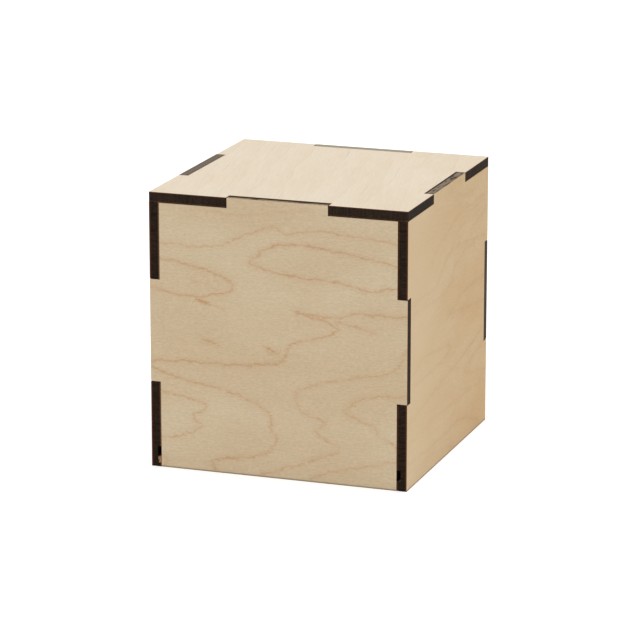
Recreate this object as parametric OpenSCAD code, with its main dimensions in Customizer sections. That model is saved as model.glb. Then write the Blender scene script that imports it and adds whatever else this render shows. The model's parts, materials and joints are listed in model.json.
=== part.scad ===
// Plywood puzzle box with a hidden drawer, laser cut from 3 mm sheet.
// The front wall is the face of a drawer that slides straight out. At its back
// the drawer carries four loose steel pins in closed channels. Two drop into a
// keeper under the top when the box is turned over, and two slide into keepers
// on the side walls when it is leaned over. The upright channels are open at
// the top and the side channels slope down towards the middle, so gravity draws
// all four pins back when the box stands upright. Then only two pairs of
// magnets hold the drawer shut.
// Frame: +Z up, the front faces -Y, origin at the centre of the base.

/* [Box] */
// Outer width, left to right
box_w = 81; // [76:1:100]
// Outer depth, front to back
box_d = 81; // [76:1:100]
// Outer height
box_h = 85; // [82:1:105]
// Thickness of the plywood sheet
sheet = 3; // [2.8:0.1:3.2]

/* [Finger joints] */
// Length of the one notch at the middle of each jointed edge
notch_len = 32; // [20:1:36]
// Gap that the laser leaves at each end of a finger
kerf = 0.15; // [0.1:0.05:0.3]

/* [Drawer] */
// Height of the floor grooves in the side walls above the base
groove_z = 3.15; // [3:0.05:5]
// Height of the opening of a groove
groove_h = 3.2; // [3.2:0.05:3.6]
// Depth of a groove in the wall
groove_deep = 1.1; // [0.9:0.1:1.5]
// Gap between the drawer and the walls around it
run_gap = 0.3; // [0.2:0.05:0.4]
// Gap between the drawer's side panels and the stops above them
stop_clear = 2.25; // [1:0.25:20]
// Length of the tabs that stand in the drawer floor
tab_len = 12; // [8:1:16]

/* [Lock] */
// Diameter of the loose steel pins
pin_d = 2.5; // [2:0.1:2.6]
// Length of the two upright pins that drop when the box is turned over
drop_pin_len = 20; // [16:1:24]
// Length of the two side pins that slide out when the box is leaned over
lean_pin_len = 16; // [12:1:18]
// Distance of each upright pin from the middle of the box
drop_pin_x = 22; // [18:1:26]
// Height above the base of the mouths of the side channels
side_mouth_z = 46; // [42:1:48]
// Slope of the side channels, in degrees down towards the middle of the box
side_slope = 20; // [12:1:24]
// Width of the channels that the pins lie in
channel_w = 3; // [2.8:0.1:3.2]
// Diameter of the holes in the keepers
keeper_hole_d = 3.2; // [3:0.1:3.6]

/* [Magnets] */
// Diameter of the magnet discs
magnet_d = 5; // [4:0.5:6]
// Thickness of the magnet discs
magnet_t = 1.5; // [1:0.1:1.8]
// Distance of the magnets from the middle of the box
magnet_x = 14; // [10:1:24]
// Height of the magnets above the base
magnet_z = 20; // [14:1:30]

/* [Hidden] */
$fn = 64;

ply_color = [0.84, 0.76, 0.64];
inner_ply_color = [0.80, 0.69, 0.54];
steel_color = [0.70, 0.71, 0.73];
magnet_color = [0.82, 0.82, 0.84];

out_x = box_w / 2;
out_y = box_d / 2;
in_x = out_x - sheet;           // inner faces of the side walls
in_y = out_y - sheet;           // inner faces of the front and back walls
in_z = box_h - sheet;           // underside of the top
mid_z = box_h / 2;
finger_len = notch_len - 2 * kerf;
seat_gap = 0.1;                 // behind the drawer's fingers when it is shut
cut = 1;                        // how far a cutting shape runs past a face

floor_z = groove_z + (groove_h - sheet) / 2;
floor_top = floor_z + sheet;
side_out = in_x - run_gap;      // outer faces of the drawer's sides
side_in = side_out - sheet;
tab_gap = 0.1;                  // around a tab in the drawer floor
side_tabs = [-18, 10];          // places of the side tabs along Y
back_tabs = [-15, 15];          // places of the back tabs along X

cover_y1 = in_y - run_gap;      // the lock is three sheets deep
core_y1 = cover_y1 - sheet;
back_y1 = core_y1 - sheet;
back_y0 = back_y1 - sheet;
pin_y = core_y1 - sheet / 2;
roof_gap = 0.5;                 // between the lock and the ceiling keeper
lock_top = in_z - sheet - roof_gap;
pin_end_gap = 0.1;              // past an upright pin's ends and a side pin's inner end
side_pin_in = 0.5;              // from a side pin's end to the mouth of its channel

keeper_len = 8;
keeper_h = 12;
keeper_relief = 1;              // around a side keeper in the drawer's back
keeper_margin = 8;              // from a pin hole to the end of the ceiling keeper
ceiling_keeper_w = 2 * (drop_pin_x + keeper_margin);

stop_len = 4;
stop_h = 10;
stop_drop = 0.5;                // from the top of the drawer's back to a stop
stop_z = lock_top - stop_drop - stop_h;
stop_y0 = -in_y + run_gap;
side_top = stop_z - stop_clear;
magnet_pocket = magnet_t + 0.1; // depth of the hole for a magnet
magnet_fit = 0.05;              // around a magnet in its hole
pin_chamfer = 0.3;

// A block from one corner to the opposite one
module block(a, b) {
    translate(a) cube(b - a);
}

// Mirrors a right-hand shape to the left where side is -1
module on_side(side) {
    mirror([side < 0 ? 1 : 0, 0, 0]) children();
}

// A disc along +Y from y0
module disc_y(x, y0, z, d, len) {
    translate([x, y0, z]) rotate([-90, 0, 0]) cylinder(d = d, h = len);
}

// Places a shape at the mouth of the right-hand side channel, with +X out along it
module at_side_channel() {
    translate([side_in, pin_y, side_mouth_z]) rotate([0, -side_slope, 0]) children();
}

// A pin along +Z with chamfered ends
module pin(len) {
    r = pin_d / 2;
    rotate_extrude()
        polygon([[0, 0], [r - pin_chamfer, 0], [r, pin_chamfer],
            [r, len - pin_chamfer], [r - pin_chamfer, len], [0, len]]);
}

// The top lies over all four walls and takes a finger from each; behind the
// finger of the drawer front its notch is a little deeper
module top_panel() {
    color(ply_color) difference() {
        block([-out_x, -out_y, in_z], [out_x, out_y, box_h]);
        block([-notch_len / 2, -out_y - cut, in_z - cut],
            [notch_len / 2, -in_y + seat_gap, box_h + cut]);
        block([-notch_len / 2, in_y, in_z - cut], [notch_len / 2, out_y + cut, box_h + cut]);
        for (s = [-1, 1]) on_side(s)
            block([in_x, -notch_len / 2, in_z - cut], [out_x + cut, notch_len / 2, box_h + cut]);
    }
}

// A side wall, drawn on the right: posts at its front and back edges, a notch
// between them, a finger up through the top, and the groove for the drawer floor
module side_wall(side) {
    on_side(side) color(ply_color) difference() {
        union() {
            block([in_x, -out_y, 0], [out_x, out_y, in_z]);
            block([in_x, -finger_len / 2, in_z], [out_x, finger_len / 2, box_h]);
        }
        block([in_x - cut, -out_y - cut, mid_z - notch_len / 2],
            [out_x + cut, -in_y + seat_gap, mid_z + notch_len / 2]);
        block([in_x - cut, in_y, mid_z - notch_len / 2],
            [out_x + cut, out_y + cut, mid_z + notch_len / 2]);
        block([in_x - cut, -out_y - cut, groove_z],
            [in_x + groove_deep, in_y, groove_z + groove_h]);
    }
}
module left_wall() { side_wall(-1); }
module right_wall() { side_wall(1); }

// A wall that fills the end of the box, with its two side fingers and top
// finger; inset is the gap that it keeps to the posts and the top
module end_wall(y0, inset) {
    block([-in_x + inset, y0, 0], [in_x - inset, y0 + sheet, in_z - inset]);
    block([-out_x, y0, mid_z - finger_len / 2], [out_x, y0 + sheet, mid_z + finger_len / 2]);
    block([-finger_len / 2, y0, mid_z], [finger_len / 2, y0 + sheet, box_h]);
}

module back_wall() {
    color(ply_color) difference() {
        end_wall(in_y, 0);
        for (s = [-1, 1])
            disc_y(s * magnet_x, in_y - cut, magnet_z, magnet_d + 2 * magnet_fit, magnet_pocket + cut);
    }
}

module back_wall_magnets() {
    color(magnet_color)
        for (s = [-1, 1]) disc_y(s * magnet_x, in_y, magnet_z, magnet_d, magnet_t);
}

// The strip under the top that the upright pins drop into
module ceiling_keeper() {
    color(inner_ply_color) difference() {
        block([-ceiling_keeper_w / 2, pin_y - keeper_len / 2, in_z - sheet],
            [ceiling_keeper_w / 2, pin_y + keeper_len / 2, in_z]);
        for (s = [-1, 1])
            translate([s * drop_pin_x, pin_y, in_z - sheet - cut])
                cylinder(d = keeper_hole_d, h = sheet + 2 * cut);
    }
}

// The block on a side wall that a side pin slides into
module side_keeper(side) {
    on_side(side) color(inner_ply_color) difference() {
        block([in_x - sheet, pin_y - keeper_len / 2, side_mouth_z - keeper_h / 2],
            [in_x, pin_y + keeper_len / 2, side_mouth_z + keeper_h / 2]);
        at_side_channel() translate([-cut, 0, 0])
            rotate([0, 90, 0]) cylinder(d = keeper_hole_d, h = sheet + run_gap + 3 * cut);
    }
}
module left_keeper() { side_keeper(-1); }
module right_keeper() { side_keeper(1); }

// The block at the front of a side wall that stops the open drawer
module drawer_stop(side) {
    on_side(side) color(inner_ply_color)
        block([in_x - sheet, stop_y0, stop_z], [in_x, stop_y0 + stop_len, stop_z + stop_h]);
}
module left_stop() { drawer_stop(-1); }
module right_stop() { drawer_stop(1); }

// The face of the drawer, flush with the posts and the top when it is shut
module front_panel() {
    color(ply_color) end_wall(-out_y, kerf);
}

// The drawer floor, whose long edges run in the grooves of the side walls
module drawer_floor() {
    edge = in_x + groove_deep - kerf;
    color(inner_ply_color) difference() {
        block([-edge, -in_y, floor_z], [edge, cover_y1, floor_top]);
        for (s = [-1, 1], y = side_tabs)
            translate([s * (side_in + sheet / 2), y, floor_z + sheet / 2])
                cube([sheet + 2 * tab_gap, tab_len + 2 * tab_gap, sheet + cut], center = true);
        for (x = back_tabs)
            translate([x, back_y0 + sheet / 2, floor_z + sheet / 2])
                cube([tab_len + 2 * tab_gap, sheet + 2 * tab_gap, sheet + cut], center = true);
    }
}

module drawer_side(side) {
    on_side(side) color(inner_ply_color) {
        block([side_in, -in_y, floor_top], [side_out, back_y0, side_top]);
        for (y = side_tabs)
            block([side_in, y - tab_len / 2, floor_z], [side_out, y + tab_len / 2, floor_top + cut]);
    }
}
module drawer_left_side() { drawer_side(-1); }
module drawer_right_side() { drawer_side(1); }

// The back of the drawer: its upper corners meet the stops, and it is cut away
// beside the side channels to pass the side keepers
module drawer_back() {
    relief = keeper_h / 2 + keeper_relief;
    color(inner_ply_color) difference() {
        union() {
            block([-side_out, back_y0, floor_top], [side_out, back_y1, lock_top]);
            for (x = back_tabs)
                block([x - tab_len / 2, back_y0, floor_z], [x + tab_len / 2, back_y1, floor_top + cut]);
        }
        for (s = [-1, 1]) on_side(s)
            block([side_in, back_y0 - cut, side_mouth_z - relief],
                [side_out + cut, back_y1 + cut, side_mouth_z + relief]);
    }
}

// The middle sheet of the lock, cut through with one channel for each pin
module lock_core() {
    color(inner_ply_color) difference() {
        block([-side_in, back_y1, floor_top], [side_in, core_y1, lock_top]);
        for (s = [-1, 1]) on_side(s) {
            block([drop_pin_x - channel_w / 2, back_y1 - cut, lock_top - drop_pin_len - 2 * pin_end_gap],
                [drop_pin_x + channel_w / 2, core_y1 + cut, lock_top + cut]);
            at_side_channel()
                block([-side_pin_in - lean_pin_len - pin_end_gap, -sheet / 2 - cut, -channel_w / 2],
                    [cut, sheet / 2 + cut, channel_w / 2]);
        }
    }
}

// The rear sheet of the lock, which closes the channels and holds two magnets
module lock_cover() {
    color(inner_ply_color) difference() {
        block([-side_in, core_y1, floor_top], [side_in, cover_y1, lock_top]);
        for (s = [-1, 1])
            disc_y(s * magnet_x, cover_y1 - magnet_pocket, magnet_z,
                magnet_d + 2 * magnet_fit, magnet_pocket + cut);
    }
}

module drawer_magnets() {
    color(magnet_color)
        for (s = [-1, 1]) disc_y(s * magnet_x, cover_y1 - magnet_t, magnet_z, magnet_d, magnet_t);
}

// An upright pin at the bottom of its channel
module drop_pin(side) {
    color(steel_color)
        translate([side * drop_pin_x, pin_y, lock_top - drop_pin_len - pin_end_gap])
            pin(drop_pin_len);
}
module drop_pin_left() { drop_pin(-1); }
module drop_pin_right() { drop_pin(1); }

// A side pin at the inner, lower end of its channel
module lean_pin(side) {
    on_side(side) color(steel_color)
        at_side_channel() translate([-side_pin_in - lean_pin_len, 0, 0])
            rotate([0, 90, 0]) pin(lean_pin_len);
}
module lean_pin_left() { lean_pin(-1); }
module lean_pin_right() { lean_pin(1); }

top_panel();
left_wall();
right_wall();
back_wall();
ceiling_keeper();
left_keeper();
right_keeper();
left_stop();
right_stop();
back_wall_magnets();
front_panel();
drawer_floor();
drawer_left_side();
drawer_right_side();
drawer_back();
lock_core();
lock_cover();
drawer_magnets();
drop_pin_left();
drop_pin_right();
lean_pin_left();
lean_pin_right();
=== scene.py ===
"""Looks of the plywood puzzle box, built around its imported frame.

The frame's own pieces stay where they are. Most panels are rebuilt as quad meshes on the
same corners, with broken arrises and the plies' glue lines let into the cut edges. The
keepers, the lock's core, the pins and the magnets keep their CAD mesh under a weld and a
bevel.
Lengths in this script are millimetres until MM turns them into Blender's metres.
"""
import json
import math

import bmesh
import bpy
import numpy as np
from mathutils import Matrix, Vector, noise
from mathutils.bvhtree import BVHTree


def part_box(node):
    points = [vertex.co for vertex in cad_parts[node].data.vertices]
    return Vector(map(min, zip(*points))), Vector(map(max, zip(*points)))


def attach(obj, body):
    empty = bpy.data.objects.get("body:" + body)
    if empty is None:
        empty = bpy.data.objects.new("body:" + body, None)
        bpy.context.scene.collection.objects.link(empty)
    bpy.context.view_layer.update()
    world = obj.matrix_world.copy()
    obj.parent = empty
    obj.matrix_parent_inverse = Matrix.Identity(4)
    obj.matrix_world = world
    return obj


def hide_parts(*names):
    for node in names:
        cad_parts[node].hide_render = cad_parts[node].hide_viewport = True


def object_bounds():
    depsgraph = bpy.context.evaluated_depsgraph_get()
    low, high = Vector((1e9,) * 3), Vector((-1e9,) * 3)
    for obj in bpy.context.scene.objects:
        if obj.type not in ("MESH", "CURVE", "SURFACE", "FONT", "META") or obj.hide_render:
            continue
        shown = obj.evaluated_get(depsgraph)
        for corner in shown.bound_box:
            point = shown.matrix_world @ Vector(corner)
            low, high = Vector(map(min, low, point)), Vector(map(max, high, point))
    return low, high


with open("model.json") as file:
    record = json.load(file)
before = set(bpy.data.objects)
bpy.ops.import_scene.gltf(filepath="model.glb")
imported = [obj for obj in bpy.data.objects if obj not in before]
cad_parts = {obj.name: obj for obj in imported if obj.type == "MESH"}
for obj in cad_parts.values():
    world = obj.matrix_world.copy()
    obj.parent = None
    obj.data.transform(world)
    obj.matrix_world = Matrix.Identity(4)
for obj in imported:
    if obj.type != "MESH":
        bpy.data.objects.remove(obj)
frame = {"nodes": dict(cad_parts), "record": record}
cad_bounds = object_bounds()

MM = 0.001
X, Y, Z = 0, 1, 2
BOX_MIDDLE = [(low + high) / 2 / MM for low, high in zip(*cad_bounds)]
BOX_HALF = cad_bounds[1][X] / MM

# Plywood: two face veneers on a thicker core
SHEET = 3.0
VENEER = 0.5
GLUE_LINE = 0.08
GLUE_DEPTH = 0.035
ARRIS = 0.11
METAL_ARRIS = 0.08
# Two faces that meet at more than this have a sharp edge
SHARP = math.radians(50)
# Edges shorter than this are merged away
SLIVER = 0.0005
# Width of the toasted line on a face beside a cut
TOAST_WIDTH = 0.32
# Height of the darkening along the bottom edges, soot smudge and painted contact shade
FOOT_SMUDGE = 0.7

# The magnets that sit in round pockets of two panels, and the room around and behind them
MAGNETS_IN = {"back_wall": "back_wall_magnets", "lock_cover": "drawer_magnets"}
POCKET_FIT = 0.05
POCKET_SPARE = 0.1

# Size of the quads of a rebuilt panel; the panels with drawn rings need finer ones
PANEL_PITCH = 3.0
FINE_PITCH = {"front_panel": 0.5, "right_wall": 1.0}
# A splinter is gone from the left wall's inner front corner, under the end of its groove
CHIP_WIDTH = 0.85
CHIP_DEPTH = 0.8
CHIP_FOOT = 1.2
CHIP_TOP = 3.15
WALL_LOW, WALL_HIGH = [[round(v / MM, 3) for v in corner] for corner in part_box("left_wall")]
CHIP = ((WALL_HIGH[X] - CHIP_WIDTH, WALL_LOW[Y], CHIP_FOOT),
        (WALL_HIGH[X], WALL_LOW[Y] + CHIP_DEPTH, CHIP_TOP))
CHIP_CELLS = 6
# Panels with slanting channels or round holes right through, which keep their CAD mesh
KEEP_CAD_MESH = ("ceiling_keeper", "left_keeper", "right_keeper", "lock_core")

# Thickness axis of each plywood panel, and the axis its face grain runs along
PLY_AXES = {
    "top_panel": (Z, Y),
    "left_wall": (X, Y),
    "right_wall": (X, Y),
    "back_wall": (Y, X),
    "ceiling_keeper": (Z, X),
    "left_keeper": (X, Z),
    "right_keeper": (X, Z),
    "left_stop": (X, Z),
    "right_stop": (X, Z),
    "front_panel": (Y, X),
    "drawer_floor": (Z, Y),
    "drawer_left_side": (X, Y),
    "drawer_right_side": (X, Y),
    "drawer_back": (Y, X),
    "lock_core": (Y, X),
    "lock_cover": (Y, X),
}


# ---------------------------------------------------------------- camera and light

# The white floor: its half width in metres, its own grey, and how much it glows
FLOOR_REACH = 4.0
FLOOR_GREY = 0.70
FLOOR_GLOW = 0.52


def make_camera():
    """The camera stands a little over a metre off, to the right of the front and above it."""
    azimuth, elevation, distance = math.radians(19.31), math.radians(14.69), 1.0826
    target = Vector((-1.2, -1.1, 40.0)) * MM
    away = Vector((math.sin(azimuth) * math.cos(elevation),
                   -math.cos(azimuth) * math.cos(elevation),
                   math.sin(elevation)))
    data = bpy.data.cameras.new("camera")
    data.lens = 200.13
    data.sensor_width = 36.0
    data.clip_start = 0.05
    camera = bpy.data.objects.new("camera", data)
    camera.location = target + away * distance
    camera.rotation_euler = (-away).to_track_quat("-Z", "Y").to_euler()
    bpy.context.scene.collection.objects.link(camera)
    bpy.context.scene.camera = camera


def area_light(name, place, aim, size, power, color=(1, 1, 1)):
    data = bpy.data.lights.new(name, "AREA")
    data.shape = "SQUARE"
    data.size = size
    data.energy = power
    data.color = color
    light = bpy.data.objects.new(name, data)
    light.location = place
    light.rotation_euler = (Vector(aim) - Vector(place)).to_track_quat("-Z", "Y").to_euler()
    bpy.context.scene.collection.objects.link(light)


def make_studio():
    """A white sweep under an even white sky, one big softbox overhead and one in front."""
    world = bpy.data.worlds.new("studio")
    world.use_nodes = True
    world.node_tree.nodes["Background"].inputs["Color"].default_value = (1, 1, 1, 1)
    world.node_tree.nodes["Background"].inputs["Strength"].default_value = 0.58
    bpy.context.scene.world = world
    bpy.context.scene.view_settings.view_transform = "Standard"
    area_light("overhead_softbox", (0.1, 0.1, 1.3), (0, 0, 0.05), 1.0, 9.5, (0.96, 0.98, 1.0))
    area_light("front_softbox", (-0.7, -1.3, 0.7), (0, 0, 0.04), 0.8, 2.5)

    mesh = bpy.data.meshes.new("floor")
    corners = [(x * FLOOR_REACH, y * FLOOR_REACH, 0) for x, y in ((-1, -1), (1, -1), (1, 1), (-1, 1))]
    mesh.from_pydata(corners, [], [(0, 1, 2, 3)])
    floor = bpy.data.objects.new("floor", mesh)
    bpy.context.scene.collection.objects.link(floor)
    white = Net("floor_white")
    white.shader((FLOOR_GREY, FLOOR_GREY, FLOOR_GREY, 1), roughness=0.9)
    white.bsdf.inputs["Emission Color"].default_value = (1, 1, 1, 1)
    # The sweep glows a little to stay white, but not under the box, where the missing glow is a painted
    # shadow
    x, y, _ = white.place()
    off_centre = white.math("MAXIMUM", white.math("ABSOLUTE", x), white.math("ABSOLUTE", y))
    glow = white.remap(off_centre, BOX_HALF - 1.0, BOX_HALF, 0.0, FLOOR_GLOW)
    white.links.new(glow, white.bsdf.inputs["Emission Strength"])
    mesh.materials.append(white.material)


# ---------------------------------------------------------------- material nodes

class Net:
    """A material's node tree, with one short call for each kind of node it uses."""

    def __init__(self, name):
        self.material = bpy.data.materials.new(name)
        self.material.use_nodes = True
        self.nodes = self.material.node_tree.nodes
        self.links = self.material.node_tree.links
        self.nodes.clear()
        self.bsdf = None

    def add(self, kind, values=(), **settings):
        node = self.nodes.new(kind)
        for key, value in settings.items():
            setattr(node, key, value)
        for key, value in dict(values).items():
            if isinstance(value, bpy.types.NodeSocket):
                self.links.new(value, node.inputs[key])
            else:
                node.inputs[key].default_value = value
        return node

    def math(self, operation, *values, clamp=False):
        node = self.add("ShaderNodeMath", dict(enumerate(values)), operation=operation)
        node.use_clamp = clamp
        return node.outputs[0]

    def remap(self, value, low, high, to_low=0.0, to_high=1.0):
        """Smooth step from low to high."""
        sockets = {"Value": value, "From Min": low, "From Max": high,
                   "To Min": to_low, "To Max": to_high}
        node = self.add("ShaderNodeMapRange", sockets, interpolation_type="SMOOTHSTEP")
        return node.outputs["Result"]

    def vector(self, x, y, z):
        return self.add("ShaderNodeCombineXYZ", {0: x, 1: y, 2: z}).outputs[0]

    def noise(self, vector, scale, detail=2.0, roughness=0.5):
        """Noise from about 0 to 1, with features 1 / scale millimetres apart."""
        sockets = {"Vector": vector, "Scale": scale, "Detail": detail, "Roughness": roughness}
        return self.add("ShaderNodeTexNoise", sockets).outputs["Fac"]

    def mix(self, factor, a, b, blend="MIX"):
        """Mixes two colours."""
        node = self.add("ShaderNodeMix", data_type="RGBA", blend_type=blend)
        for index, value in ((0, factor), (6, a), (7, b)):
            if isinstance(value, bpy.types.NodeSocket):
                self.links.new(value, node.inputs[index])
            else:
                node.inputs[index].default_value = value
        return node.outputs[2]

    def attribute(self, name):
        return self.add("ShaderNodeAttribute", attribute_name=name).outputs["Fac"]

    def place(self):
        """Object coordinates in millimetres, as three sockets."""
        where = self.add("ShaderNodeTexCoord").outputs["Object"]
        scaled = self.add("ShaderNodeVectorMath", {0: where, "Scale": 1 / MM}, operation="SCALE")
        return self.add("ShaderNodeSeparateXYZ", {0: scaled.outputs[0]}).outputs[:3]

    def facing(self):
        """The surface normal in object space, as three sockets."""
        normal = self.add("ShaderNodeTexCoord").outputs["Normal"]
        return self.add("ShaderNodeSeparateXYZ", {0: normal}).outputs[:3]

    def shader(self, color, roughness=0.5, metallic=0.0, height=None, depth=0.1):
        """A Principled surface; height is a bump height and depth its scale in millimetres."""
        self.bsdf = self.add("ShaderNodeBsdfPrincipled", {
            "Base Color": color, "Roughness": roughness, "Metallic": metallic})
        if height is not None:
            bump = self.add("ShaderNodeBump", {"Height": height, "Distance": depth * MM,
                                               "Strength": 1.0})
            self.links.new(bump.outputs[0], self.bsdf.inputs["Normal"])
        output = self.add("ShaderNodeOutputMaterial")
        self.links.new(self.bsdf.outputs[0], output.inputs[0])


# ---------------------------------------------------------------- plywood material

# Linear colours of the laser's burns, from the darkest core to the toast beside a cut
CHAR_BLACK = (0.010, 0.0056, 0.0040, 1)
CHAR_DARK = (0.025, 0.0150, 0.0102, 1)
BURNT_GLUE = (0.006, 0.0045, 0.004, 1)
BURNT_DARK = (0.024, 0.010, 0.006, 1)
BURNT_BROWN = (0.060, 0.024, 0.011, 1)
TOASTED_RIM = (0.125, 0.040, 0.014, 1)
TOAST = (0.17, 0.075, 0.032, 1)
ASH = (0.155, 0.120, 0.080, 1)
# Linear colours of a foot darkened by soot and painted contact shade, of broken wood and of the painted
# light at one end of a sheet
SMUDGE = (0.125, 0.068, 0.034, 1)
RAW_WOOD = (0.60, 0.34, 0.165, 1)
PALE_END = (0.71, 0.57, 0.38, 1)
# Where along the grain the painted light on a sheet starts, and where it is brightest
PALE_FROM = 15.0
PALEST = -38.0
# Bare wood hardly shines
WOOD_SHINE = 0.02
# Distance in the noise between one panel's figure and the next one's
SEED_STEP = 7.0


def drawn_rings(net, along, across, look):
    """How dark the growth rings are where the mesh carries the distance to the nearest one."""
    gap = net.attribute("ring_gap")
    # Halfway between two rings the signed gap jumps through zero, where no ring may show
    near = net.remap(net.attribute("ring_far"), look["halo_width"] + 1.2, look["halo_width"] + 0.2)
    lean = net.attribute("ring_lean")
    dark = net.attribute("ring_dark")
    spot = net.vector(along, across, 0.0)
    # A ring that crosses the fibres is frayed along them
    fray = net.noise(net.vector(net.math("MULTIPLY", along, 0.3), net.math("MULTIPLY", across, 2.2),
                                0.0), 1.0, 2.0, 0.6)
    fray = net.math("MULTIPLY", net.math("SUBTRACT", fray, 0.5), 3.6)
    wobble = net.noise(spot, 1.4, 3.0, 0.6)
    wobble = net.math("MULTIPLY", net.math("SUBTRACT", wobble, 0.5), 1.3)
    drift = net.noise(net.vector(along, across, 5.0), 0.30, 2.0, 0.5)
    drift = net.math("MULTIPLY", net.math("SUBTRACT", drift, 0.5), look["drift"])
    moved = net.math("ADD", net.math("ADD", gap, drift), wobble)
    moved = net.math("ADD", moved, net.math("MULTIPLY", net.math("ADD", lean, 0.15), fray))
    away = net.math("ABSOLUTE", moved)
    line = net.remap(away, look["line_width"], 0.0)
    core = net.remap(away, 0.22, 0.05)
    halo = net.remap(away, look["halo_width"], 0.0)
    patch = net.remap(net.noise(spot, 0.22, 2.0), 0.25, 0.7, 0.35, 1.0)
    inked = net.remap(net.noise(spot, 0.31, 2.0), 0.42, 0.62)
    whole = net.math("ADD", net.math("MULTIPLY", line, patch), net.math("MULTIPLY", halo, look["halo"]))
    whole = net.math("ADD", net.math("MULTIPLY", whole, 0.75),
                     net.math("MULTIPLY", net.math("MULTIPLY", core, inked), look["core"]), clamp=True)
    return net.math("MULTIPLY", net.math("MULTIPLY", whole, near), dark)


def grown_rings(net, along, across, pitch, sway, line_weight, seed):
    """Rings as the level lines of a slope that slow noise bends into long tongues."""
    warp = net.noise(net.vector(net.math("MULTIPLY", along, 0.018), net.math("MULTIPLY", across, 0.05),
                                seed), 1.0, 2.0, 0.45)
    fray = net.noise(net.vector(net.math("MULTIPLY", along, 0.2), net.math("MULTIPLY", across, 1.6),
                                seed), 1.0, 2.0, 0.6)
    phase = net.math("ADD", net.math("MULTIPLY", across, 1 / pitch), net.math("MULTIPLY", warp, sway))
    phase = net.math("ADD", phase, net.math("MULTIPLY", fray, 0.05))
    part = net.math("FRACT", phase)
    line = net.math("MULTIPLY", net.remap(part, 0.90, 0.97), net.remap(part, 1.0, 0.975))
    shade = net.math("MULTIPLY", net.remap(part, 0.25, 0.95), net.remap(part, 1.0, 0.95))
    patch = net.remap(net.noise(net.vector(along, across, seed), 0.05, 2.0), 0.3, 0.7, 0.3, 1.0)
    both = net.math("ADD", net.math("MULTIPLY", line, line_weight),
                    net.math("MULTIPLY", shade, 0.35), clamp=True)
    return net.math("MULTIPLY", both, patch)


def veneer(net, along, across, through, look, rings, seed):
    """Sanded bare maple: returns its colour and its bump height."""
    slow = net.vector(net.math("MULTIPLY", along, 0.45), across, net.math("ADD", through, seed))
    fibre = net.vector(net.math("MULTIPLY", along, look["fibre"]), across,
                       net.math("ADD", through, seed))
    tone = net.noise(slow, 0.045, 2.0, 0.5)
    mottle = net.noise(slow, 0.35, 2.0, 0.5)
    threads = net.noise(fibre, 3.0, 3.0, 0.65)
    short = net.vector(net.math("MULTIPLY", along, 3.5 * look["fibre"]), across, through)
    specks = net.noise(short, 2.4, 2.0, 0.7)
    pores = net.noise(fibre, 1.7, 1.0, 0.4)
    pores = net.remap(pores, 0.66, 0.78)
    color = net.mix(net.remap(tone, 0.3, 0.7), look["pale"], look["warm"])
    color = net.mix(net.remap(mottle, 0.35, 0.75, 0.0, 0.35), color, look["rosy"])
    color = net.mix(net.math("MULTIPLY", rings, look["ring_strength"]), color, look["ring"])
    light = net.remap(threads, 0.25, 0.75, 1.0 - look["thread"], 1.0 + look["thread"])
    light = net.math("MULTIPLY", light,
                     net.remap(specks, 0.25, 0.75, 1.0 - look["speck"], 1.0 + look["speck"]))
    light = net.math("SUBTRACT", light, net.math("MULTIPLY", pores, look["pore"]))
    color = net.mix(1.0, color, net.vector(light, light, light), "MULTIPLY")
    height = net.math("SUBTRACT", net.math("MULTIPLY", threads, 0.6), net.math("MULTIPLY", pores, 0.4))
    return color, height


def char(net, spots, axes, depth, up, look, seed):
    """The laser's burnt edge: returns its colour and bump height.

    axes are the sheet's thickness and grain axes, and depth runs from -SHEET / 2 at its
    inner face to SHEET / 2 at its outer face.
    """
    thickness, grain = axes
    drawn = [net.math("MULTIPLY", a, 0.12 if i == thickness else 1.0) for i, a in enumerate(spots)]
    drawn[thickness] = net.math("ADD", drawn[thickness], seed)
    streak = net.noise(net.vector(*drawn), 3.2, 2.0, 0.6)
    rubbed = [net.math("MULTIPLY", a, 0.25 if i == grain else 1.0) for i, a in enumerate(spots)]
    cloud = net.noise(net.vector(*rubbed), 0.8, 3.0, 0.6)
    grit = net.noise(net.vector(*spots), 4.0, 2.0, 0.6)
    depth_out = net.math("ABSOLUTE", depth)
    core = net.mix(net.remap(streak, 0.3, 0.7), CHAR_BLACK, CHAR_DARK)
    ply = net.remap(depth_out, SHEET / 2 - VENEER - 0.1, SHEET / 2 - VENEER + 0.2)
    brown = net.mix(net.remap(streak, 0.3, 0.7), BURNT_DARK, BURNT_BROWN)
    color = net.mix(net.math("MULTIPLY", ply, 0.85), core, brown)
    # The last of each face veneer is only toasted
    outer_rim = net.remap(depth, SHEET / 2 - look["rim_width"], SHEET / 2 - 0.03, 0.0, 0.85)
    inner_rim = net.remap(depth, 0.25 - SHEET / 2, 0.03 - SHEET / 2, 0.0, look["inner_rim"])
    color = net.mix(net.math("ADD", outer_rim, inner_rim), color, TOASTED_RIM)
    ash = net.math("ADD", look["faded"], net.remap(grit, 0.50, 0.75, 0.0, 0.22))
    color = net.mix(ash, color, ASH)
    # Edges that face up are painted lighter in mottled patches, a painted sheen of the light from above
    patchy = net.math("ADD", net.math("MULTIPLY", cloud, 0.7), net.math("MULTIPLY", grit, 0.3))
    wiped = net.remap(patchy, look["wipe_from"], look["wipe_from"] + 0.16)
    wiped = net.math("MULTIPLY", wiped, net.remap(up, 0.6, 0.9))
    wiped = net.math("MULTIPLY", wiped,
                     net.remap(depth, look["wipe_depth"] - 0.3, look["wipe_depth"] + 0.3))
    color = net.mix(net.math("MULTIPLY", wiped, look["wiped"]), color, (*look["wipe_color"], 1))
    glue = net.math("SUBTRACT", depth_out, SHEET / 2 - VENEER)
    glue = net.remap(net.math("ABSOLUTE", glue), 0.10, 0.02)
    color = net.mix(net.math("MULTIPLY", glue, 0.7), color, BURNT_GLUE)
    height = net.math("ADD", net.math("MULTIPLY", streak, 0.8), net.math("MULTIPLY", grit, 0.3))
    return color, height


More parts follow.
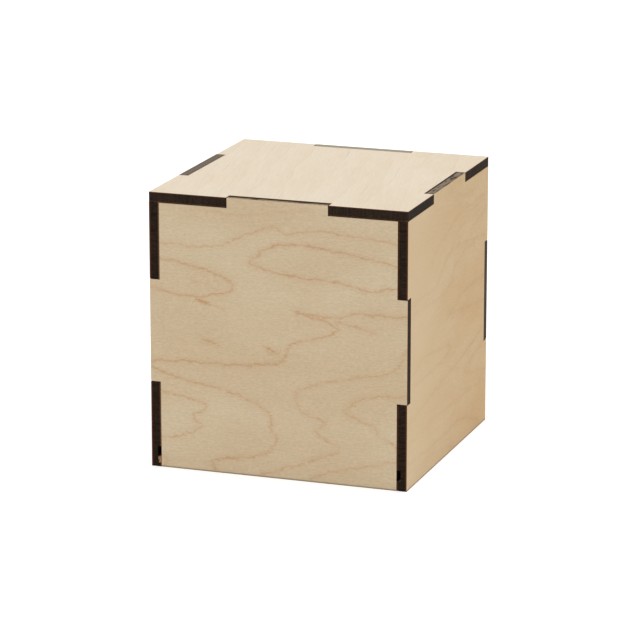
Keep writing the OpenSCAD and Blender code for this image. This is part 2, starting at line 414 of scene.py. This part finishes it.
def plywood(node, look, seed, drawn=False, raw=None, knot=None):
    """The material of one plywood panel, veneer on its faces and char on its cut edges.

    raw is a small box (low, high) in millimetres where the wood is broken open, and knot
    the place of a pin knot along and across the grain.
    """
    thickness, along = PLY_AXES[node]
    across = 3 - thickness - along
    low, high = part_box(node)
    middle = (low[thickness] + high[thickness]) / 2 / MM
    outward = 1 if middle > BOX_MIDDLE[thickness] else -1
    net = Net("maple_plywood_" + node)
    spots = net.place()
    normal = net.facing()
    length = spots[along]
    width = net.math("ADD", spots[across], net.math("MULTIPLY", length, look["slant"]))
    if drawn:
        rings = drawn_rings(net, length, spots[across], look)
    else:
        rings = grown_rings(net, length, width, look["pitch"], look["sway"], look["line"], seed)
    face_color, face_height = veneer(net, length, width, spots[thickness], look, rings, seed)
    if knot:
        face_color = net.mix(knot_mask(net, spots[along], spots[across], knot), face_color,
                             look["pale"])
    # A sheet can be painted paler towards the low end of its grain axis, painted light that falls off
    # along it
    paler = net.remap(length, PALE_FROM, PALEST, 0.0, look["pale_end"])
    face_color = net.mix(paler, face_color, PALE_END)
    toast = net.math("MULTIPLY", net.attribute("toast"), look["toast"])
    face_color = net.mix(toast, face_color, TOAST)
    # The feet of the walls are darkened where they stand, by soot smudge and painted contact shade
    face_color = net.mix(net.remap(spots[Z], FOOT_SMUDGE, 0.0, 0.0, 0.85), face_color, SMUDGE)
    depth = net.math("MULTIPLY", net.math("SUBTRACT", spots[thickness], middle), outward)
    edge_color, edge_height = char(net, spots, PLY_AXES[node], depth, normal[Z], look, seed)
    is_face = net.remap(net.math("ABSOLUTE", normal[thickness]), 0.80, 0.93)
    # A groove's own faces are cut wood too, so only the sheet's faces are veneer
    at_skin = net.remap(net.math("ABSOLUTE", depth), SHEET / 2 - 0.12, SHEET / 2 - 0.05)
    is_face = net.math("MULTIPLY", is_face, at_skin)
    color = net.mix(is_face, edge_color, face_color)
    if raw:
        color = net.mix(raw_wood_mask(net, spots, raw), color, RAW_WOOD)
    roughness = net.math("ADD", 0.62, net.math("MULTIPLY", is_face, -0.08))
    height = net.math("ADD", net.math("MULTIPLY", is_face, net.math("MULTIPLY", face_height, 0.25)),
                      net.math("MULTIPLY", net.math("SUBTRACT", 1.0, is_face), edge_height))
    net.shader(color, roughness=roughness, height=height, depth=0.04)
    net.bsdf.inputs["Specular IOR Level"].default_value = WOOD_SHINE
    return net.material


def knot_mask(net, along, across, knot):
    """A pin knot is a small pale eye."""
    far = [net.math("POWER", net.math("SUBTRACT", a, b), 2.0) for a, b in zip((along, across), knot)]
    return net.remap(net.math("SQRT", net.math("ADD", *far)), 1.2, 0.2, 0.0, 0.8)


def raw_wood_mask(net, spots, raw):
    """1 inside the small box raw, with a ragged border."""
    low, high = raw
    ragged = net.noise(net.vector(*spots), 2.5, 2.0)
    ragged = net.math("MULTIPLY", net.math("SUBTRACT", ragged, 0.5), 0.5)
    mask = 1.0
    for spot, a, b in zip(spots, low, high):
        shifted = net.math("ADD", spot, ragged)
        inside = net.math("MULTIPLY", net.remap(shifted, a - 0.1, a + 0.1),
                          net.remap(shifted, b + 0.1, b - 0.1))
        mask = net.math("MULTIPLY", mask, inside)
    return mask


def wood_look(pale, warm, rosy, ring, **strengths):
    """The colours and the strengths of one veneer's figure and of its burnt edges."""
    values = {
        # Rings: their strength, those drawn by hand, and those grown from noise
        "ring_strength": 0.5,
        "line_width": 0.55, "core": 0.35, "halo": 0.32, "halo_width": 2.2, "drift": 2.2,
        "line": 0.8, "pitch": 9.0, "sway": 3.0, "slant": 0.0,
        # Fibres, and how much painted light makes one end paler
        "fibre": 0.10, "thread": 0.03, "speck": 0.03, "pore": 0.05, "pale_end": 0.0,
        # Burns: the toast beside a cut, and the rims, ash and painted sheen of the light from above on it
        "toast": 0.6, "rim_width": 0.3, "inner_rim": 0.5, "faded": 0.0,
        "wiped": 0.9, "wipe_from": 0.36, "wipe_depth": -SHEET,
        "wipe_color": (0.285, 0.230, 0.170),
    }
    values.update(strengths)
    colors = {"pale": pale, "warm": warm, "rosy": rosy, "ring": ring}
    return values | {name: (*color, 1) for name, color in colors.items()}


FRONT_LOOK = wood_look((0.60, 0.488, 0.330), (0.560, 0.435, 0.280), (0.59, 0.446, 0.302),
                       (0.49, 0.285, 0.145), ring_strength=0.82, line_width=0.48, thread=0.035, speck=0.07,
                       wiped=0.9, wipe_from=0.37, wipe_depth=0.35, wipe_color=(0.36, 0.25, 0.15),
                       faded=0.06)
TOP_LOOK = wood_look((0.745, 0.65, 0.51), (0.725, 0.615, 0.47), (0.735, 0.60, 0.47),
                     (0.60, 0.455, 0.32), ring_strength=0.36, line=0.25, thread=0.045, speck=0.025,
                     fibre=0.03, pore=0.07, pitch=9.0, sway=1.5, slant=0.18, inner_rim=0.0, faded=0.04)
SIDE_LOOK = wood_look((0.615, 0.455, 0.275), (0.575, 0.395, 0.212), (0.59, 0.395, 0.222),
                      (0.485, 0.30, 0.145), ring_strength=0.48, core=0.0, line_width=0.8, halo=0.35,
                      halo_width=3.0, speck=0.045, rim_width=0.7, inner_rim=0.7, wiped=0.8,
                      wipe_from=0.37, wipe_depth=-0.9, pale_end=0.45)
LEFT_LOOK = wood_look((0.615, 0.485, 0.32), (0.575, 0.43, 0.26), (0.60, 0.435, 0.275),
                      (0.47, 0.285, 0.145), ring_strength=0.55, line=0.6, speck=0.05, pitch=8.0,
                      sway=4.5, rim_width=0.7, inner_rim=0.7, wiped=0.55, wipe_from=0.22)
BACK_LOOK = dict(FRONT_LOOK, ring_strength=0.5, pitch=10.0, sway=4.0, wiped=1.0, wipe_from=0.22,
                 wipe_depth=-SHEET, wipe_color=(0.34, 0.29, 0.215), faded=0.3)
INNER_LOOK = wood_look((0.60, 0.475, 0.315), (0.565, 0.43, 0.27), (0.585, 0.43, 0.285),
                       (0.43, 0.27, 0.15), ring_strength=0.45, line=0.5, thread=0.05, pore=0.09,
                       pitch=8.0, wiped=0.2, wipe_from=0.42)
LOOKS = {"front_panel": FRONT_LOOK, "top_panel": TOP_LOOK, "left_wall": LEFT_LOOK,
         "right_wall": SIDE_LOOK, "back_wall": BACK_LOOK}


# ---------------------------------------------------------------- metal materials

def ground_steel():
    """Dowel pins, ground smooth, with a fine grain and faint stains."""
    net = Net("pin_steel")
    x, y, z = net.place()
    fine = net.noise(net.vector(x, y, z), 6.0, 3.0, 0.7)
    stain = net.noise(net.vector(x, y, z), 0.5, 2.0)
    color = net.mix(net.remap(stain, 0.35, 0.7), (0.56, 0.56, 0.57, 1), (0.43, 0.42, 0.41, 1))
    net.shader(color, roughness=net.remap(fine, 0.3, 0.7, 0.24, 0.40), metallic=1.0,
               height=fine, depth=0.01)
    return net.material


def nickel_plate():
    """Magnet discs, bright plate with scuffs."""
    net = Net("magnet_nickel")
    x, y, z = net.place()
    scuff = net.noise(net.vector(net.math("MULTIPLY", x, 0.2), y, net.math("MULTIPLY", z, 3.0)),
                      2.0, 3.0, 0.7)
    bloom = net.noise(net.vector(x, y, z), 0.8, 2.0)
    color = net.mix(net.remap(bloom, 0.35, 0.7), (0.70, 0.68, 0.64, 1), (0.60, 0.57, 0.52, 1))
    net.shader(color, roughness=net.remap(scuff, 0.3, 0.75, 0.12, 0.34), metallic=1.0,
               height=scuff, depth=0.004)
    return net.material


# ---------------------------------------------------------------- panel meshes

def cell_lines(values, pitch, extra=()):
    """Grid coordinates through all the given ones, no further apart than pitch."""
    fixed = sorted(set(round(v, 3) for v in (*values, *extra)))
    lines = [fixed[0]]
    for a, b in zip(fixed, fixed[1:]):
        steps = max(1, math.ceil((b - a) / pitch - 1e-6))
        lines += [a + (b - a) * i / steps for i in range(1, steps + 1)]
    return lines


def coarse_solid(node, coarse):
    """Which cells between a CAD panel's own corner coordinates are wood."""
    source = frame["nodes"][node].data
    tree = BVHTree.FromPolygons([v.co for v in source.vertices],
                                [tuple(p.vertices) for p in source.polygons])
    direction = Vector((0.9713, 0.1873, 0.1469)).normalized()

    def inside(point):
        """A point is inside if a ray from it leaves the solid an odd number of times."""
        start, hits = Vector(point) * MM, 0
        while True:
            spot = tree.ray_cast(start, direction)[0]
            if spot is None:
                return hits % 2 == 1
            hits += 1
            start = spot + direction * 1e-6

    middles = [[(a + b) / 2 for a, b in zip(c, c[1:])] for c in coarse]
    solid = np.zeros([len(m) for m in middles], bool)
    for cell in np.ndindex(*solid.shape):
        solid[cell] = inside([middles[a][cell[a]] for a in (X, Y, Z)])
    return solid


def skin_quads(solid):
    """Corner indices of the quads between filled and empty cells, facing out of the wood."""
    padded = np.pad(solid, 1)
    quads = []
    for axis in (X, Y, Z):
        u, v = (axis + 1) % 3, (axis + 2) % 3
        below = np.delete(padded, -1, axis)
        above = np.delete(padded, 0, axis)
        for leaving, winding in ((below & ~above, 1), (above & ~below, -1)):
            where = np.argwhere(leaving)
            where[:, u] -= 1
            where[:, v] -= 1
            loop = []
            for du, dv in ((0, 0), (1, 0), (1, 1), (0, 1))[::winding]:
                corner = where.copy()
                corner[:, u] += du
                corner[:, v] += dv
                loop.append(corner)
            quads.append(np.stack(loop, axis=1))
    return np.concatenate(quads)


def panel_mesh(node, pitch, chip=None):
    """A quad mesh on the corners of a straight-edged CAD panel, and its glue lines' depths.

    chip is the box (low, high) where a splinter has broken away.
    """
    thickness = PLY_AXES[node][0]
    corners = np.array([v.co for v in frame["nodes"][node].data.vertices]) / MM
    for x, z, radius in magnet_places(node):
        corners = corners[np.hypot(corners[:, X] - x, corners[:, Z] - z) > 1.2 * radius]
    coarse = [sorted(set(np.round(corners[:, a], 3))) for a in (X, Y, Z)]
    low, high = coarse[thickness][0], coarse[thickness][-1]
    extra = [[], [], []]
    for a in (X, Y, Z):
        near = [c + side * TOAST_WIDTH for c in coarse[a] for side in (-1, 1)]
        extra[a] = [c for c in near if coarse[a][0] < c < coarse[a][-1]]
    glue = [low + VENEER, low + VENEER + GLUE_LINE, high - VENEER - GLUE_LINE, high - VENEER]
    extra[thickness] = list(glue)
    if chip:
        for a in (X, Y, Z):
            extra[a] += list(np.linspace(chip[0][a], chip[1][a], CHIP_CELLS + 1))
    lines = [cell_lines(coarse[a], SHEET if a == thickness else pitch, extra[a]) for a in (X, Y, Z)]
    centres = [np.add(line[1:], line[:-1]) / 2 for line in lines]
    nearest = [np.searchsorted(coarse[a], centres[a]) - 1 for a in (X, Y, Z)]
    solid = coarse_solid(node, coarse)[np.ix_(*nearest)]
    if chip:
        solid &= ~splinter(centres, chip)
    quads = skin_quads(solid)
    shape = [len(line) for line in lines]
    used, faces = np.unique(np.ravel_multi_index(quads.reshape(-1, 3).T, shape), return_inverse=True)
    index = np.unravel_index(used, shape)
    points = np.stack([np.array(lines[a])[index[a]] for a in (X, Y, Z)], axis=1) * MM
    data = bpy.data.meshes.new(node + "_ply")
    data.from_pydata(points.tolist(), [], faces.reshape(-1, 4).tolist())
    mesh = bmesh.new()
    mesh.from_mesh(data)
    return data, mesh, glue


def magnet_places(node):
    """X, Z and radius of each magnet let into a panel, in millimetres."""
    if node not in MAGNETS_IN:
        return []
    low, high = (np.array(corner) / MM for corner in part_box(MAGNETS_IN[node]))
    radius = (high[Z] - low[Z]) / 2
    return [(x, low[Z] + radius, radius) for x in (low[X] + radius, high[X] - radius)]


def bore_magnet_pockets(piece, node):
    """Cuts the blind round pockets that a panel's magnets sit in."""
    magnet = [corner[Y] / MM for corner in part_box(MAGNETS_IN[node])]
    opens_forward = abs(magnet[0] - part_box(node)[0][Y] / MM) < 0.01
    room = (SHEET, POCKET_SPARE) if opens_forward else (POCKET_SPARE, SHEET)
    start, end = magnet[0] - room[0], magnet[1] + room[1]
    drill = bmesh.new()
    for x, z, radius in magnet_places(node):
        place = Matrix.Translation(Vector((x, (start + end) / 2, z)) * MM)
        bmesh.ops.create_cone(drill, cap_ends=True, segments=64, depth=(end - start) * MM,
                              radius1=(radius + POCKET_FIT) * MM, radius2=(radius + POCKET_FIT) * MM,
                              matrix=place @ Matrix.Rotation(math.pi / 2, 4, "X"))
    data = bpy.data.meshes.new("drill")
    drill.to_mesh(data)
    drill.free()
    tool = bpy.data.objects.new("drill", data)
    bpy.context.scene.collection.objects.link(tool)
    cut = piece.modifiers.new("pockets", "BOOLEAN")
    cut.operation = "DIFFERENCE"
    cut.solver = "EXACT"
    cut.object = tool
    whole = piece.evaluated_get(bpy.context.evaluated_depsgraph_get())
    piece.data = bpy.data.meshes.new_from_object(whole)
    piece.modifiers.clear()
    bpy.data.objects.remove(tool)


def splinter(centres, chip):
    """Cells of a ragged wedge that is deepest at the chip's inner, front edge."""
    grid = np.meshgrid(*centres, indexing="ij")
    low, high = np.array(chip[0]), np.array(chip[1])
    share = [(g - low[a]) / (high[a] - low[a]) for a, g in enumerate(grid)]
    within = np.all([(s > 0) & (s < 1) for s in share], axis=0)
    ragged = 0.25 * np.sin(grid[Z] * 7.0) + 0.15 * np.sin(grid[Z] * 17.0 + 1.0)
    return within & ((1 - share[X]) + share[Y] < 1.15 + ragged)


def sink_glue_lines(mesh, thickness, lines):
    """Lets the two glue lines a little into the cut edges, deeper in some places."""
    mesh.normal_update()
    for vertex in mesh.verts:
        if abs(vertex.normal[thickness]) > 0.2:
            continue
        depth = vertex.co[thickness]
        if any(abs(depth - line * MM) < 1e-6 for line in lines):
            rough = noise.noise(vertex.co * 900)
            vertex.co -= vertex.normal * MM * GLUE_DEPTH * (0.7 + 0.5 * rough)


def break_arrises(mesh):
    """A tiny rounded bevel on every sharp edge; slivers that it leaves are merged away."""
    sharp = [e for e in mesh.edges if e.is_manifold and e.is_convex
             and e.calc_face_angle(0) > SHARP]
    bmesh.ops.bevel(mesh, geom=sharp, offset=ARRIS * MM, segments=2, profile=0.6, affect="EDGES",
                    clamp_overlap=True)
    bmesh.ops.dissolve_degenerate(mesh, dist=SLIVER * MM, edges=mesh.edges)


def toast_outline(piece, thickness):
    """Marks the points of the faces where they meet a cut edge."""
    mesh = bmesh.new()
    mesh.from_mesh(piece.data)
    toast = mesh.verts.layers.float.new("toast")
    mesh.normal_update()
    for vertex in mesh.verts:
        flattest = min(abs(face.normal[thickness]) for face in vertex.link_faces)
        vertex[toast] = 1.0 if flattest < 0.9 else 0.0
    mesh.to_mesh(piece.data)
    mesh.free()


def rebuild_panel(node, body, pitch, chip=None):
    """A finished panel that replaces its CAD node."""
    data, mesh, lines = panel_mesh(node, pitch, chip)
    thickness = PLY_AXES[node][0]
    sink_glue_lines(mesh, thickness, lines)
    break_arrises(mesh)
    mesh.to_mesh(data)
    mesh.free()
    piece = bpy.data.objects.new(node + "_ply", data)
    bpy.context.scene.collection.objects.link(piece)
    toast_outline(piece, thickness)
    if node in MAGNETS_IN:
        bore_magnet_pockets(piece, node)
    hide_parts(node)
    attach(piece, body)
    return piece


def soften_cad_edges(node, width):
    """Welds the CAD mesh and bevels it, without touching its own points."""
    piece = frame["nodes"][node]
    weld = piece.modifiers.new("weld", "WELD")
    weld.merge_threshold = 1e-6
    bevel = piece.modifiers.new("bevel", "BEVEL")
    bevel.width = width * MM
    bevel.segments = 2
    bevel.limit_method = "ANGLE"
    bevel.angle_limit = SHARP
    return piece


# ---------------------------------------------------------------- the front's figure

# The main growth rings of the front veneer, as seen from the front. Each is how dark it
# is and a few points that its curve passes through, as whole millimetres along X and Z
FRONT_RINGS = [
    (0.30, [(-27, 81), (-13, 80), (9, 83)]),
    (0.70, [(-38, 70), (-20, 70), (-3, 77), (3, 75), (13, 77), (38, 75)]),
    (0.95, [(38, 68), (13, 72), (1, 72), (-8, 67), (-7, 65), (3, 63), (19, 62), (29, 60), (38, 62)]),
    (0.90, [(-38, 65), (-25, 63), (-15, 60), (-16, 56), (-28, 54), (-41, 56)]),
    (0.90, [(41, 53), (25, 53), (18, 51), (6, 52)]),
    (0.95, [(6, 52), (17, 49), (17, 46), (5, 42), (0, 36), (-15, 34), (-27, 34), (-41, 33)]),
    (0.65, [(41, 44), (35, 36), (18, 32), (7, 28), (7, 22), (15, 19), (12, 16), (19, 11),
            (14, 8), (1, 3), (-5, 1)]),
    (0.70, [(41, 29), (29, 28), (21, 23), (30, 19), (32, 16), (38, 13)]),
    (0.85, [(-41, 31), (-29, 28), (-13, 25), (-3, 20), (-2, 15), (0, 12), (-5, 7), (-20, 4),
            (-20, 1)]),
    (0.80, [(-38, 24), (-23, 21), (-27, 17), (-24, 14), (-29, 11), (-38, 9)]),
    (0.60, [(38, 9), (18, 4), (9, 0)]),
    (0.45, [(-38, 4), (-35, 2), (-36, 1)]),
    # Short flecks
    (1.60, [(-25, 53), (-22, 52)]),
    (0.40, [(-20, 52), (-17, 51)]),
    (0.45, [(-27, 59), (-19, 57)]),
    (1.80, [(-3, 40), (-1, 39)]),
    (0.80, [(19, 50), (24, 49), (30, 48)]),
    (1.00, [(-23, 41), (-20, 40)]),
]


# Soft rings of the right wall, as seen from the right, in whole millimetres along Y and Z
RIGHT_RINGS = [
    (0.80, [(-37, 56), (-14, 56), (-8, 59), (0, 63), (10, 64), (36, 61)]),
    (0.70, [(-34, 53), (-8, 52), (3, 54), (6, 58), (18, 61), (26, 60)]),
    (0.75, [(37, 48), (16, 48), (4, 45), (-1, 45), (4, 44), (38, 40)]),
    (0.80, [(-33, 35), (-24, 37), (-3, 35), (2, 33), (-12, 31), (-33, 31)]),
    (0.80, [(-40, 20), (-13, 24), (18, 28), (38, 32)]),
    (0.65, [(38, 27), (17, 22), (40, 17)]),
    (0.55, [(-40, 14), (-9, 15), (18, 15), (38, 14)]),
    (0.85, [(-40, 8), (-7, 7), (10, 8), (24, 5), (32, 2)]),
    (0.55, [(-40, 5), (-9, 4), (5, 1)]),
    (0.60, [(-12, 67), (10, 73), (38, 74)]),
    (0.50, [(4, 67), (26, 72), (38, 72)]),
    (0.60, [(23, 66), (38, 69)]),
    (0.45, [(3, 82), (15, 78), (26, 78)]),
]
DRAWN_RINGS = {"front_panel": (X, FRONT_RINGS), "right_wall": (Y, RIGHT_RINGS)}
# A pin knot in the front, just above the second ring
KNOTS = {"front_panel": (3, 77)}


def smooth_path(points, steps=6):
    """Catmull-Rom curve through the points."""
    p = np.array([points[0], *points, points[-1]], float)
    t = np.linspace(0, 1, steps, endpoint=False)[:, None]
    spans = []
    for a, b, c, d in zip(p, p[1:], p[2:], p[3:]):
        spans.append(0.5 * (2 * b + (c - a) * t + (2 * a - 5 * b + 4 * c - d) * t ** 2
                            + (3 * b - a - 3 * c + d) * t ** 3))
    return np.vstack([*spans, p[-1:]])


def distance_to_path(spots, path):
    """Each spot's distance to the path, signed by its side, and its share along the grain."""
    best = np.full(len(spots), 1e9)
    signed, lean = np.zeros(len(spots)), np.zeros(len(spots))
    for a, b in zip(path, path[1:]):
        run = b - a
        share = np.clip((spots - a) @ run / max(run @ run, 1e-9), 0, 1)
        off = spots - a - share[:, None] * run
        far = np.hypot(off[:, 0], off[:, 1])
        side = np.where(run[0] * off[:, 1] - run[1] * off[:, 0] < 0, -1, 1)
        nearer = far < best
        best[nearer] = far[nearer]
        signed[nearer] = (far * side)[nearer]
        lean[nearer] = (np.abs(off[:, 0]) / np.maximum(far, 1e-9))[nearer]
    return signed, lean


def draw_rings(piece, along, rings):
    """Stores on each point its distance to the nearest ring, and that ring's darkness."""
    spots = np.array([(v.co[along], v.co.z) for v in piece.data.vertices]) / MM
    gap = np.full(len(spots), 99.0)
    dark, lean = np.zeros(len(spots)), np.zeros(len(spots))
    for strength, points in rings:
        distance, slope = distance_to_path(spots, smooth_path(points))
        nearer = np.abs(distance) < np.abs(gap)
        gap[nearer], lean[nearer], dark[nearer] = distance[nearer], slope[nearer], strength
    layers = {"ring_gap": gap, "ring_far": np.abs(gap), "ring_dark": dark, "ring_lean": lean}
    for name, values in layers.items():
        layer = piece.data.attributes.new(name, "FLOAT", "POINT")
        layer.data.foreach_set("value", values.astype(np.float32))


# ---------------------------------------------------------------- the box

BODIES = frame["record"]["behaviour"]["bodies"]
BODY_OF = {node: body for body, nodes in BODIES.items() for node in nodes}


def dress_plywood():
    for number, node in enumerate(PLY_AXES):
        chip = CHIP if node == "left_wall" else None
        if node in KEEP_CAD_MESH:
            piece = soften_cad_edges(node, ARRIS)
        else:
            piece = rebuild_panel(node, BODY_OF[node], FINE_PITCH.get(node, PANEL_PITCH), chip)
        drawn = node in DRAWN_RINGS
        if drawn:
            draw_rings(piece, *DRAWN_RINGS[node])
        material = plywood(node, LOOKS.get(node, INNER_LOOK), SEED_STEP * number, drawn, chip,
                           KNOTS.get(node))
        piece.data.materials.clear()
        piece.data.materials.append(material)


def dress_metal():
    steel, nickel = ground_steel(), nickel_plate()
    for node, material in (("drop_pin_left", steel), ("drop_pin_right", steel),
                           ("lean_pin_left", steel), ("lean_pin_right", steel),
                           ("back_wall_magnets", nickel), ("drawer_magnets", nickel)):
        piece = soften_cad_edges(node, METAL_ARRIS)
        piece.data.materials.clear()
        piece.data.materials.append(material)


make_camera()
make_studio()
dress_plywood()
dress_metal()
